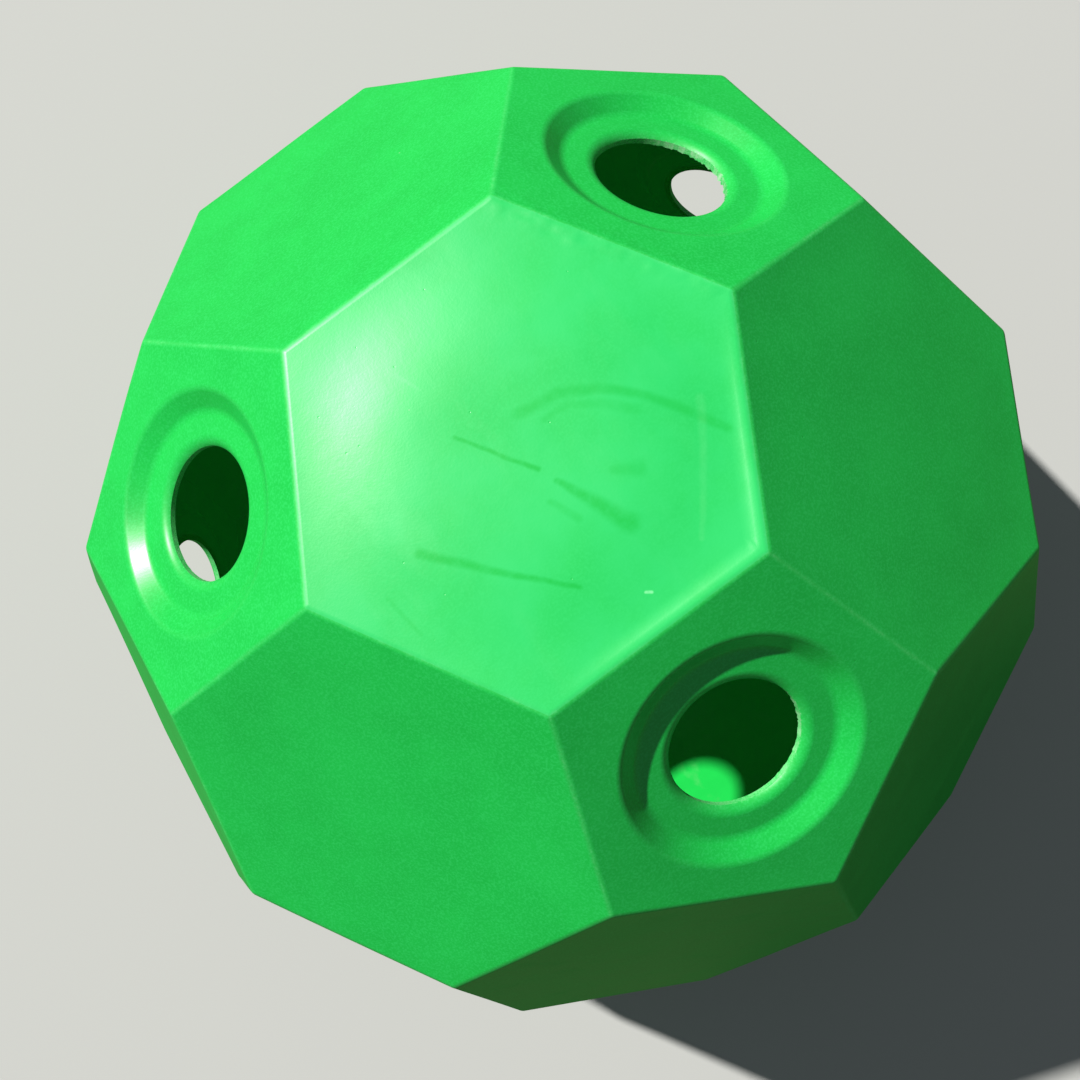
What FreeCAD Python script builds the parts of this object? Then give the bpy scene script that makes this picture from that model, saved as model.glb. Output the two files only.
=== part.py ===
import FreeCAD, Part

import itertools
import math
import os

from FreeCAD import Matrix, Placement, Vector

# A slow-feeder hay ball: a hollow polyethylene moulding in the shape of a truncated icosahedron, with 20 flat
# hexagon faces and 12 pentagon faces. Each pentagon has a round recess with a feeding hole cut through it.
# The real ball is one moulding. Here it is divided along its fold lines into one wall for each face, so that
# each wall is a simple solid and every hole keeps its own name. Neighbouring walls meet face to face.
#
# The origin is the ball's centre. +Z goes out through the middle of the hexagon on top, and the ball rests on
# the opposite hexagon. A pentagon of the ring next to the top faces towards -Y. Sizes are in millimetres.

# The overall size.
ACROSS_HEXAGONS = 400.0  # between two opposite hexagon faces

# The moulding's wall, and the folds between its faces.
WALL = 3.5
FOLD_BEND = 1.5  # inside radius of a fold

# The feeding hole, cut with a hole saw.
HOLE_DIAMETER = 50.0

# The recess around a hole, from the hole outwards: a lip that rolls down into the hole, a shelf, a slope.
LIP_BEND = 1.8  # inside radius of the lip's roll
LIP_ANGLE = 55.0  # how far the lip has turned down where the saw cuts it, in degrees
SHELF_WIDTH = 6.5
SHELF_DEPTH = 5.5  # below the pentagon's face
SLOPE_ANGLE = 36.0  # of the straight part of the slope, in degrees
TOE_RADIUS = 6.0  # outside radius where the slope meets the shelf
SHOULDER_BEND = 1.5  # inside radius where the slope meets the face

# A pyramid that divides the moulding reaches this many times as far out as the ball's corners.
PYRAMID_REACH = 1.2

# Values that follow from those above.
FOLD_RADIUS = FOLD_BEND + WALL
LIP_RADIUS = LIP_BEND + WALL
SHOULDER_RADIUS = SHOULDER_BEND + WALL
GOLDEN = (1 + math.sqrt(5)) / 2
EDGE = ACROSS_HEXAGONS / (math.sqrt(3) * GOLDEN**2)

CENTRE = Vector(0, 0, 0)
UP = Vector(0, 0, 1)
FRONT = Vector(0, -1, 0)


def icosahedron_corners():
    """The 12 corners of an icosahedron with edges of 2: the cyclic orders of (0, 1, golden), any signs."""
    corners = []
    for short, long in itertools.product((1, -1), (GOLDEN, -GOLDEN)):
        corners += [Vector(0, short, long), Vector(short, long, 0), Vector(long, 0, short)]
    return corners


def icosahedron_faces(corners):
    """The 20 sets of three corners that are all an edge apart."""
    faces = []
    for face in itertools.combinations(range(len(corners)), 3):
        gaps = [(corners[a] - corners[b]).Length for a, b in itertools.combinations(face, 2)]
        if max(gaps) < 2 + 1e-6:
            faces.append(face)
    return faces


def middle(points):
    """The mean of some points."""
    total = Vector(0, 0, 0)
    for point in points:
        total += point
    return total * (1 / len(points))


def axes_towards(normal, side):
    """Three unit vectors: z along the normal, x as near to the side as it can be, and y square to both."""
    z = Vector(normal).normalize()
    x = (side - z * side.dot(z)).normalize()
    return x, z.cross(x), z


def turn_between(old, new):
    """The rotation that carries three old axes onto three new ones."""

    def matrix(x, y, z):
        return Matrix(x.x, y.x, z.x, 0, x.y, y.y, z.y, 0, x.z, y.z, z.z, 0, 0, 0, 0, 1)

    return Placement(matrix(*new) * matrix(*old).inverse())


def upright(corners, faces):
    """The corners at their real size, with the first face on top and its first corner in front."""
    size = 3 * EDGE / 2
    old = axes_towards(middle([corners[n] for n in faces[0]]), corners[faces[0][0]])
    turn = turn_between(old, axes_towards(UP, FRONT))
    return [turn.multVec(corner) * size for corner in corners]


# The ball is an icosahedron with its corners cut off. Each corner leaves a pentagon, known here by the
# corner's number. Each face leaves a hexagon, known by the numbers of the three pentagons around it.
PLAIN_CORNERS = icosahedron_corners()
HEXAGONS = icosahedron_faces(PLAIN_CORNERS)
PENTAGONS = list(range(len(PLAIN_CORNERS)))
TIPS = upright(PLAIN_CORNERS, HEXAGONS)


def pentagon_beside(face):
    """The first pentagon that lies next to a hexagon, or across one fold from another pentagon."""
    if face in HEXAGONS:
        return face[0]
    hexagon = next(hexagon for hexagon in HEXAGONS if face in hexagon)
    return next(pentagon for pentagon in hexagon if pentagon != face)


def plane_of(face):
    """A face's outward unit normal and its distance from the ball's centre."""
    if face in HEXAGONS:
        return middle([TIPS[n] for n in face]).normalize(), ACROSS_HEXAGONS / 2
    normal = Vector(TIPS[face]).normalize()
    third_of_the_way = TIPS[face] * (2 / 3) + TIPS[pentagon_beside(face)] * (1 / 3)
    return normal, third_of_the_way.dot(normal)


PLANES = {face: plane_of(face) for face in HEXAGONS + PENTAGONS}


def around(normal, items, direction):
    """The items sorted anticlockwise round a normal, by the direction that each one lies in."""
    x, y, z = axes_towards(normal, direction(items[0]))
    return sorted(items, key=lambda item: math.atan2(direction(item).dot(y), direction(item).dot(x)))


def meeting_point(faces, inset):
    """Where the planes of three faces meet, once each plane has moved inwards by the inset."""
    (a, da), (b, db), (c, dc) = (PLANES[face] for face in faces)
    point = b.cross(c) * (da - inset) + c.cross(a) * (db - inset) + a.cross(b) * (dc - inset)
    return point * (1 / a.dot(b.cross(c)))


def sharp_corners(inset):
    """The ball's 60 corners before its folds are rounded, each with the three faces that meet there."""
    corners = []
    for pentagon in PENTAGONS:
        beside = [face for face in HEXAGONS if pentagon in face]
        ring = around(PLANES[pentagon][0], beside, lambda face: PLANES[face][0])
        for left, right in zip(ring, ring[1:] + ring[:1]):
            faces = (pentagon, left, right)
            corners.append((faces, meeting_point(faces, inset)))
    return corners


def outline(face, corners):
    """The corners of one face, anticlockwise as seen from outside."""
    own = [point for faces, point in corners if face in faces]
    return around(PLANES[face][0], own, lambda point: point)


def closed_solid(outlines):
    """The solid inside a closed set of flat faces."""
    faces = [Part.Face(Part.makePolygon(points + points[:1])) for points in outlines]
    return Part.makeSolid(Part.makeShell(faces))


def rounded_ball(inset, radius):
    """A solid ball with its faces moved inwards by the inset and its folds rounded."""
    corners = sharp_corners(inset)
    ball = closed_solid([outline(face, corners) for face in PLANES])
    return ball.makeFillet(radius, ball.Edges)


def pyramid(face):
    """A pyramid from the ball's centre out through one face's corners. Its sides run along the fold lines."""
    base = [point * PYRAMID_REACH for point in outline(face, sharp_corners(0))]
    sides = [[CENTRE, a, b] for a, b in zip(base, base[1:] + base[:1])]
    return closed_solid([base] + sides)


def on_bend(centre, radius, angle):
    """The point of a bend at an angle from straight up, in a section with x across and z up."""
    return centre + Vector(math.sin(angle), 0, math.cos(angle)) * radius


def bend(centre, radius, start, end):
    """An arc between two angles from straight up, in the same section."""
    halfway = on_bend(centre, radius, (start + end) / 2)
    return Part.Arc(on_bend(centre, radius, start), halfway, on_bend(centre, radius, end)).toShape()


def lines_through(points):
    """Straight edges from each point to the next."""
    return [Part.makeLine(a, b) for a, b in zip(points, points[1:])]


def recess_section():
    """The recess's wall as a flat face: x is the distance from the hole's axis, and z = 0 at the pentagon.

    Both sides of the wall share the centres of their bends. Both sides of the lip's roll stop at the same
    angle. The saw's cut runs straight down from the outer one, and a flat end joins it to the inner one.
    """
    lip, slope = math.radians(LIP_ANGLE), math.radians(SLOPE_ANGLE)
    hole = HOLE_DIAMETER / 2
    lip_centre = Vector(hole + LIP_RADIUS * math.sin(lip), 0, -SHELF_DEPTH - LIP_RADIUS)
    toe_centre = Vector(lip_centre.x + SHELF_WIDTH, 0, -SHELF_DEPTH + TOE_RADIUS)
    bends = TOE_RADIUS + SHOULDER_RADIUS
    straight = (SHELF_DEPTH - bends * (1 - math.cos(slope))) / math.sin(slope)
    run = bends * math.sin(slope) + straight * math.cos(slope)
    shoulder_centre = Vector(toe_centre.x + run, 0, -SHOULDER_RADIUS)

    def side(depth):
        """One side of the wall from the top of the lip to the face, at a depth under the outside."""
        toe, shoulder = TOE_RADIUS + depth, SHOULDER_RADIUS - depth
        toe_start = on_bend(toe_centre, toe, math.pi)
        toe_end = on_bend(toe_centre, toe, math.pi - slope)
        shoulder_start = on_bend(shoulder_centre, shoulder, -slope)
        edges = lines_through([on_bend(lip_centre, LIP_RADIUS - depth, 0), toe_start])
        edges += [bend(toe_centre, toe, math.pi, math.pi - slope)]
        edges += lines_through([toe_end, shoulder_start])
        return edges + [bend(shoulder_centre, shoulder, -slope, 0)]

    rim = [Vector(shoulder_centre.x, 0, 0), Vector(shoulder_centre.x, 0, -WALL)]
    cut_top = on_bend(lip_centre, LIP_RADIUS, -lip)
    lip_back = on_bend(lip_centre, LIP_BEND, -lip)
    sawn = [cut_top, Vector(hole, 0, lip_back.z), lip_back]
    edges = side(0) + lines_through(rim) + side(WALL) + lines_through(sawn)
    edges += [bend(lip_centre, radius, -lip, 0) for radius in (LIP_RADIUS, LIP_BEND)]
    print(f"recess: rim at radius {rim[0].x:.3f}, shelf starts at radius {lip_centre.x:.3f}")
    print(f"sawn wall: from {-cut_top.z:.3f} to {-lip_back.z:.3f} below the pentagon")
    return Part.Face(Part.Wire(Part.sortEdges(edges)[0])), rim[0].x


def recess_tools(height):
    """The recess as a ring round the z axis, and the disc of flat wall that it takes the place of."""
    section, rim_radius = recess_section()
    section.translate(UP * height)
    ring = section.revolve(CENTRE, UP, 360)
    disc = Part.makeCylinder(rim_radius, 4 * WALL, UP * (height - 2 * WALL))
    return ring, disc


def axes_of(face):
    """A face's own axes: z outwards and x towards a pentagon beside it, so that like faces match."""
    return axes_towards(PLANES[face][0], TIPS[pentagon_beside(face)])


def turned(shape, turn):
    """A copy of a shape, rotated about the ball's centre."""
    copy = shape.copy()
    copy.transformShape(turn.toMatrix())
    return copy


def pattern_walls():
    """The first hexagon's wall, and the first pentagon's wall with its recess and hole."""
    moulding = rounded_ball(0, FOLD_RADIUS).cut(rounded_ball(WALL, FOLD_BEND))
    hexagon = moulding.common(pyramid(HEXAGONS[0]))
    onto_face = turn_between(axes_towards(UP, FRONT), axes_of(PENTAGONS[0]))
    ring, disc = (turned(tool, onto_face) for tool in recess_tools(PLANES[PENTAGONS[0]][1]))
    pentagon = moulding.common(pyramid(PENTAGONS[0])).cut(disc).fuse(ring).removeSplitter()
    for wall in (hexagon, pentagon):
        assert wall.isValid() and len(wall.Solids) == 1
    return hexagon.Solids[0], pentagon.Solids[0]


def names_from_the_top(kind, faces, rings):
    """Names faces after the ring they lie in, from the top down, numbered from the front round each ring."""
    names = {}
    left = sorted(faces, key=lambda face: -PLANES[face][0].z)
    for ring, count in rings:
        members, left = left[:count], left[count:]
        place = {}
        for face in members:
            normal = PLANES[face][0]
            place[face] = round(math.atan2(normal.x, -normal.y), 6) % (2 * math.pi)
        for number, face in enumerate(sorted(members, key=place.get), 1):
            names[face] = f"{kind}_{ring}_{number}" if count > 1 else f"{kind}_{ring}"
    return names


def main():
    os.makedirs("parts", exist_ok=True)
    hexagon, pentagon = pattern_walls()
    hexagon_rings = [("top", 1), ("crown", 3), ("upper", 6), ("lower", 6), ("base", 3), ("bottom", 1)]
    pentagon_rings = [("crown", 3), ("upper", 3), ("lower", 3), ("base", 3)]
    for kind, faces, rings, pattern in (
        ("hexagon_wall", HEXAGONS, hexagon_rings, hexagon),
        ("pentagon_wall", PENTAGONS, pentagon_rings, pentagon),
    ):
        for face, name in names_from_the_top(kind, faces, rings).items():
            turned(pattern, turn_between(axes_of(faces[0]), axes_of(face))).exportStep(f"parts/{name}.step")
            normal, distance = PLANES[face]
            print(f"{name}: faces ({normal.x:.6f}, {normal.y:.6f}, {normal.z:.6f}) at {distance:.3f}")
    volume = len(HEXAGONS) * hexagon.Volume + len(PENTAGONS) * pentagon.Volume
    print(f"edge {EDGE:.3f} mm, whole moulding {volume / 1000:.0f} cm3")


main()
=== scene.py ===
# %% [markdown]
# # A hay ball, moulded in green polyethylene
#
# The real ball is hollow. Powdered plastic is tumbled inside a hot steel mould until it coats the mould's
# walls, so the ball has one skin of even thickness, soft folds between flat faces, and a fine satin grain.
# The feeding holes are cut afterwards with a hole saw, which leaves rough pale edges.
#
# The CAD model divides that skin along its folds into one wall for each face. This lesson makes a finer
# wall for each, out of numpy arrays, and gives them all one plastic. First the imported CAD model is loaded.
# It is the frame that everything else is measured from, and its box says how large the ball may be.

import itertools
import math

import bpy
import numpy as np
from mathutils import Matrix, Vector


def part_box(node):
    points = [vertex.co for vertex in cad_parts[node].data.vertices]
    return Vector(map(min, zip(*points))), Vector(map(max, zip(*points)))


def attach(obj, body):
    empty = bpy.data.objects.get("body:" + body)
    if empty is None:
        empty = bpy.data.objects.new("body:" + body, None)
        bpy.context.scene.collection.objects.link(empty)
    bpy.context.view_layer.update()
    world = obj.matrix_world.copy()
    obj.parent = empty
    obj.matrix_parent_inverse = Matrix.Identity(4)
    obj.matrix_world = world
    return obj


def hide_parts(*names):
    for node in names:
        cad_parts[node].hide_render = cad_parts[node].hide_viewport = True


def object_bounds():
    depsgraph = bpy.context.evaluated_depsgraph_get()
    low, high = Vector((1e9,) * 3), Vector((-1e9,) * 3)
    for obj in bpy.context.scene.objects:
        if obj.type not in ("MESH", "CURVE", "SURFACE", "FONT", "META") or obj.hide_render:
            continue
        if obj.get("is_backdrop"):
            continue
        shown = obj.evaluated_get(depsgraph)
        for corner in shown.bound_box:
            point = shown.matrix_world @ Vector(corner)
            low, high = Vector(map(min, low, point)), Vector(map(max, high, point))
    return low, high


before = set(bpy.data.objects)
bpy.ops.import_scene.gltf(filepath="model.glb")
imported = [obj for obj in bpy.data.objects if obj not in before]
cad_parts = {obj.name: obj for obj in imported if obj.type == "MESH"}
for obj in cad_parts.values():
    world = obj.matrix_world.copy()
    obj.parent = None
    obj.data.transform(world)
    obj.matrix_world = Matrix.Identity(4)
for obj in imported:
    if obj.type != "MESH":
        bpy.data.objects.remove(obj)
cad_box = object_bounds()
low, high = (np.array(corner) for corner in cad_box)
across_hexagons = float(high[2] - low[2])
ground = float(low[2])
print(f"{len(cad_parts)} walls, {across_hexagons:.3f} m across, standing at z = {ground:.3f} m")

# %% [markdown]
# ## Camera
#
# The ball is seen from almost straight above, by someone standing over it. Near the zenith, "up is up"
# hardly describes a camera's tilt, so this one is given by three things: where the lens is, the point that
# it looks at, and which way over the ground is the top of the picture. Its rotation is built from three
# unit vectors, which is clearer here than three angles.

# %% Camera
LENS_MM = 44.87
SENSOR_MM = 36.0
CAMERA_DISTANCE = 0.641
CAMERA_AZIMUTH = -99.62  # of the lens over the ground, in degrees from +X
CAMERA_HEIGHT_ANGLE = 81.08  # of the lens over the horizon, seen from the ball's centre
AIM = np.array([-0.0107, 0.0033, 0.0004])
PICTURE_TOP_AZIMUTH = 53.56
NEAREST_SEEN = 0.01


def unit(vectors):
    """Vectors over their own lengths, along the last axis."""
    vectors = np.asarray(vectors, float)
    return vectors / np.linalg.norm(vectors, axis=-1, keepdims=True)


def direction(azimuth, height_angle):
    """A unit vector from its azimuth and its angle over the horizon, in degrees."""
    a, h = math.radians(azimuth), math.radians(height_angle)
    return np.array([math.cos(h) * math.cos(a), math.cos(h) * math.sin(a), math.sin(h)])


def stand(thing, place, aim, top):
    """Puts a thing at a place, its -Z axis to the aim and its +Y axis as near to the top as it goes."""
    back = unit(np.asarray(place) - aim)
    right = unit(np.cross(top, back))
    matrix = np.eye(4)
    matrix[:3] = np.column_stack([right, np.cross(back, right), back, place])
    thing.matrix_world = Matrix(matrix)


def add_object(name, data):
    """A new object with its camera, light or mesh, linked into the scene."""
    thing = bpy.data.objects.new(name, data)
    bpy.context.scene.collection.objects.link(thing)
    return thing


camera = add_object("camera", bpy.data.cameras.new("camera"))
camera.data.lens = LENS_MM
camera.data.sensor_width = SENSOR_MM
camera.data.clip_start = NEAREST_SEEN
lens_place = CAMERA_DISTANCE * direction(CAMERA_AZIMUTH, CAMERA_HEIGHT_ANGLE)
stand(camera, lens_place, AIM, direction(PICTURE_TOP_AZIMUTH, 0))
bpy.context.scene.camera = camera
print(f"camera at {lens_place.round(3)}")

# %% [markdown]
# ## Light and floor
#
# The main light is small in the sky and far off, so its rays run side by side: faces turned to it are
# bright, faces turned away are deep green, and a lit hole throws an oval of light on the wall inside. A
# large lamp close by would be softer, but it would make all the faces alike, and a faceted ball is read by
# the difference between its faces. A weak pale world fills the shadows. The floor is one plain sheet. Both
# look pale, but give the ball only as much light as open sky and ground do, because a white bounce would
# turn the lower faces grey.

# %% Light and floor
KEY_DIRECTION = unit([-0.213, 0.5645, 0.7975])
LAMP_DISTANCE = 2  # a sun lamp's rays run side by side from anywhere
KEY_STRENGTH = 5.05
KEY_ANGLE = math.radians(1.5)
KEY_COLOUR = (1.0, 0.99, 0.96)
FILL_TONE = (0.12, 0.136, 0.15, 1)
BACKDROP_TONE = (0.62, 0.62, 0.60, 1)
FLOOR_WIDTH = 6.0
FLOOR_TONE = (0.46, 0.46, 0.44, 1)
BOUNCE_TONE = (0.045, 0.085, 0.02, 1)
FLOOR_ROUGHNESS = 0.8

key = add_object("key light", bpy.data.lights.new("key light", "SUN"))
key.data.angle = KEY_ANGLE
key.data.energy = KEY_STRENGTH
key.data.color = KEY_COLOUR
stand(key, KEY_DIRECTION * LAMP_DISTANCE, np.zeros(3), np.array([0, 0, 1]))


def tone_by_ray(tree, lit_tone, seen_tone):
    """A colour that is one tone in the light it gives to things, and another where the camera sees it."""
    rays = tree.nodes.new("ShaderNodeLightPath")
    tone = tree.nodes.new("ShaderNodeMix")
    tone.data_type = "RGBA"
    tone.inputs["A"].default_value = lit_tone
    tone.inputs["B"].default_value = seen_tone
    tree.links.new(rays.outputs["Is Camera Ray"], tone.inputs["Factor"])
    return tone.outputs["Result"]


world = bpy.data.worlds.new("studio")
world.use_nodes = True
sky = world.node_tree
sky.links.new(tone_by_ray(sky, FILL_TONE, BACKDROP_TONE), sky.nodes["Background"].inputs["Color"])
bpy.context.scene.world = world
bpy.context.scene.view_settings.view_transform = "Standard"

half = FLOOR_WIDTH / 2
floor_corners = [(-half, -half, ground), (half, -half, ground), (half, half, ground), (-half, half, ground)]
floor_mesh = bpy.data.meshes.new("floor")
floor_mesh.from_pydata(floor_corners, [], [(0, 1, 2, 3)])
floor = add_object("floor", floor_mesh)
floor_paint = bpy.data.materials.new("pale floor")
floor_paint.use_nodes = True
paint = floor_paint.node_tree
floor_shader = paint.nodes["Principled BSDF"]
paint.links.new(tone_by_ray(paint, BOUNCE_TONE, FLOOR_TONE), floor_shader.inputs["Base Color"])
floor_shader.inputs["Roughness"].default_value = FLOOR_ROUGHNESS
floor_mesh.materials.append(floor_paint)
floor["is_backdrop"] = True
print(f"key light {math.degrees(KEY_ANGLE):.1f} degrees wide, floor {FLOOR_WIDTH} m wide")

# %% [markdown]
# ## The planes of the ball
#
# The shape is an icosahedron with its 12 tips cut off, a third of the way along each edge. Every tip leaves
# a pentagon and every triangle leaves a hexagon, so two lists describe all 32 faces: a normal and a
# distance. A list of 60 corners could be typed in instead, but they follow from the planes: each corner is
# where one pentagon and two hexagons meet.

# %% Planes
GOLDEN = (1 + math.sqrt(5)) / 2
edge = across_hexagons / (math.sqrt(3) * GOLDEN**2)
tip_radius = 3 * edge * math.sqrt(GOLDEN * math.sqrt(5)) / 2


def ring_of_tips(height, first_azimuth):
    """Three directions at one height over the horizon plane, a third of a turn apart."""
    azimuth = np.radians(first_azimuth + np.array([0, 120, 240]))
    reach = math.sqrt(1 - height**2)
    return np.column_stack([reach * np.cos(azimuth), reach * np.sin(azimuth), np.full(3, height)])


# With a triangle on top, the tips lie in four rings of three.
crown = ring_of_tips(math.sqrt((5 + math.sqrt(20)) / 15), -90)
upper = ring_of_tips(math.sqrt((5 - math.sqrt(20)) / 15), -30)
tips = np.vstack([crown, upper, -upper, -crown])
FIRST_HEXAGON = len(tips)  # the faces before this number are pentagons
neighbour_cosine = 1 / math.sqrt(5)  # between two tips that share an edge
near = tips @ tips.T > neighbour_cosine / 2
threes = itertools.combinations(range(len(tips)), 3)
triangles = np.array([three for three in threes if near[np.ix_(three, three)].all()])
normals = np.vstack([tips, unit(tips[triangles].mean(axis=1))])
pentagon_distance = tip_radius * (2 + neighbour_cosine) / 3
distances = np.r_[np.full(len(tips), pentagon_distance), np.full(len(triangles), across_hexagons / 2)]
print(f"edge {edge * 1000:.2f} mm, pentagons at {pentagon_distance * 1000:.2f} mm, {len(normals)} faces")

# %% [markdown]
# ## Folds
#
# A fold of a moulding is round. Rolling a small ball around inside the planes gives exactly that shape: the
# ball's centre stays on an inner copy of the planes, moved in by the fold's radius, and the skin is one
# radius out from it. So each point of the skin is a foot on the inner copy plus the radius times a lean, a
# unit vector. On a face the lean is the face's normal. Over a fold it swings to halfway between two faces,
# and over a corner to the one direction that lies equally near to three. A Bevel modifier could round the
# folds too, but here the lean is also the exact normal for smooth shading, so no joint shows between two
# walls.

# %% Corners and columns
WALL = 0.0035
FOLD_RADIUS = 0.005
SIDE_STEPS = 40  # columns along one side of a face
FAN_STEPS = 4  # columns from a fold to a corner's own lean
BESIDE_COSINE = 0.7  # where two faces share a fold, the cosine between their normals is over this
ANY_DIRECTION = [0.31, 0.17, 0.94]  # along no face's normal


def corner_faces():
    """Each corner's pentagon and two hexagons: every two hexagons beside a pentagon that share a fold."""
    found = []
    for pentagon in range(FIRST_HEXAGON):
        beside = FIRST_HEXAGON + np.flatnonzero((triangles == pentagon).any(axis=1))
        for a, b in itertools.combinations(beside, 2):
            if normals[a] @ normals[b] > BESIDE_COSINE:
                found.append((pentagon, a, b))
    return np.array(found)


corners = corner_faces()
feet = np.linalg.solve(normals[corners], (distances[corners] - FOLD_RADIUS)[..., None])[..., 0]
from_pentagon = normals[corners[:, 1:]] - normals[corners[:, :1]]
peak_leans = unit(np.cross(from_pentagon[:, 0], from_pentagon[:, 1]))
peak_leans *= np.sign(np.sum(peak_leans * feet, axis=1, keepdims=True))


def swing(start, end, share):
    """Unit vectors on the arc from start to end, weighted by the sines of the arc's two parts."""
    angle = np.arccos(np.clip(np.sum(start * end, axis=-1, keepdims=True), -1, 1))
    return (np.sin((1 - share) * angle) * start + np.sin(share * angle) * end) / np.sin(angle)


def face_axes(face):
    """Two unit vectors that span a face, the second a quarter turn anticlockwise from the first."""
    across = unit(np.cross(ANY_DIRECTION, normals[face]))
    return across, np.cross(normals[face], across)


def around_face(face, points):
    """The angle of each point round a face's middle."""
    x, y = face_axes(face)
    return np.arctan2(points @ y, points @ x)


def columns_of(face):
    """A face's border as columns: for each, its foot and its lean at the middle of the fold.

    Along a side the foot moves from one corner to the next and the lean stays. At a corner the foot stays and
    the lean swings from one fold's to the corner's own, and on to the next fold's.
    """
    own = np.flatnonzero((corners == face).any(axis=1))
    own = own[np.argsort(around_face(face, feet[own]))]
    folds = []
    for here, there in zip(own, np.roll(own, -1)):
        across = (set(corners[here]) & set(corners[there])) - {face}
        folds.append(unit(normals[face] + normals[across.pop()]))
    along = np.linspace(0, 1, SIDE_STEPS + 1)[:, None]
    up_fan = np.arange(1, FAN_STEPS + 1)[:, None] / FAN_STEPS
    down_fan = up_fan[:-1]
    column_feet, column_leans = [], []
    for here, there, lean, next_lean in zip(own, np.roll(own, -1), folds, folds[1:] + folds[:1]):
        column_feet += [feet[here] + along * (feet[there] - feet[here])]
        column_feet += [np.tile(feet[there], (2 * FAN_STEPS - 1, 1))]
        column_leans += [np.tile(lean, (SIDE_STEPS + 1, 1))]
        column_leans += [swing(lean, peak_leans[there], up_fan)]
        column_leans += [swing(peak_leans[there], next_lean, down_fan)]
    return np.vstack(column_feet), np.vstack(column_leans)


round_pentagon, round_hexagon = (len(columns_of(face)[0]) for face in (0, FIRST_HEXAGON))
print(f"{len(corners)} corners, {round_pentagon} columns round a pentagon, {round_hexagon} round a hexagon")

# %% [markdown]
# ## A skin that isn't quite flat
#
# No moulded wall is a perfect plane. It domes out or in by a millimetre or two as it cools, and it keeps
# long, shallow waves. The top face has also sunk a little beside two of its folds, which stand up over it
# as soft ridges. All this shows only in how a highlight bends, but a highlight is what the eye reads. One
# fold also keeps a ragged line where the halves of the mould met and the flash was trimmed. A Displace
# modifier could push the points, but it would know nothing of the exact normals: here the same step tips
# each normal by the slope.

# %% Sinks, domes and waves
RIDGE_HEIGHT = 0.00065  # of a ridged fold over the top face
RIDGE_REACH = 0.0044
RIDGE_POWER = 4
RIDGED_TOWARDS = ("pentagon_wall_crown_1", "hexagon_wall_crown_1")  # the faces across the ridged folds
DOME_REACH = 0.027
DOME_POWER = 2
DOME_SPREAD = 0.0007  # of the hexagons that DOMES leaves out
DOMES = {"hexagon_wall_top": 0.00305, "hexagon_wall_crown_1": 0.0009, "hexagon_wall_crown_3": -0.0011,
         "hexagon_wall_bottom": 0.0}
WAVE_COUNT = 7
WAVE_HEIGHT = 0.00009
WAVE_LENGTHS = (0.08, 0.19)
WAVE_SETBACK = 0.0003  # keeps the waves' tops inside the ball's overall size
TRIM_COUNT = 14
TRIM_HEIGHT = 0.000018
TRIM_LENGTHS = (0.004, 0.012)
TRIM_REACH = 0.0016
SLOPE_STEP = 0.0001
TOP_HEXAGON = FIRST_HEXAGON + int(np.argmax(normals[FIRST_HEXAGON:, 2]))
TRIMMED_PENTAGON = 1  # of the crown ring, the one towards +X and +Y

SEED = 12

rng = np.random.default_rng(SEED)


def face_of(node):
    """The face whose normal lies nearest to the direction of a CAD node's middle."""
    low_corner, high_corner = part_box(node)
    return int(np.argmax(normals @ unit(np.array(low_corner) + np.array(high_corner))))


def random_waves(count, lengths):
    """Wave vectors in random directions with lengths in a range, and a random start for each."""
    vectors = unit(rng.normal(size=(count, 3))) * 2 * math.pi / rng.uniform(*lengths, size=(count, 1))
    return vectors, rng.uniform(0, 2 * math.pi, count)


def waves_at(points, waves):
    """The sum of the sines of each point's distance along each wave vector."""
    vectors, starts = waves
    return np.sin(points @ vectors.T + starts).sum(axis=-1)


long_waves = random_waves(WAVE_COUNT, WAVE_LENGTHS)
trim_waves = random_waves(TRIM_COUNT, TRIM_LENGTHS)
trimmed = feet[((corners == TOP_HEXAGON) | (corners == TRIMMED_PENTAGON)).sum(axis=1) == 2]
domes = np.r_[np.zeros(FIRST_HEXAGON), rng.uniform(-DOME_SPREAD, DOME_SPREAD, len(triangles))]
for node, dome in DOMES.items():
    domes[face_of(node)] = dome


def distance_to_line(points, ends):
    """How far each point is from the straight line between two ends."""
    along = ends[1] - ends[0]
    share = np.clip((points - ends[0]) @ along / (along @ along), 0, 1)
    return np.linalg.norm(points - ends[0] - share[..., None] * along, axis=-1)


ridged = [face_of(node) for node in RIDGED_TOWARDS]


def away_from_folds(face, points, ridges=()):
    """0 on a face's folds, 1 well inside: the folds' product of 1 - exp(-(distance / reach) ** power).

    The distance from a fold is how much lower the point is under that neighbour's plane than under its own,
    over the sine of the angle between the two. It is 0 on the middle of the fold from either side.
    """
    others = np.arange(len(normals)) != face
    beside_it = np.flatnonzero(others & (normals @ normals[face] > BESIDE_COSINE))
    steep = np.isin(beside_it, ridges)
    reach, power = np.where(steep, RIDGE_REACH, DOME_REACH), np.where(steep, RIDGE_POWER, DOME_POWER)
    turn = np.sqrt(1 - (normals[beside_it] @ normals[face]) ** 2)
    own = points @ normals[face] - distances[face]
    inset = (own[..., None] - points @ normals[beside_it].T + distances[beside_it]) / turn
    return np.prod(1 - np.exp(-(np.abs(inset / reach) ** power)), axis=-1)


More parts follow.
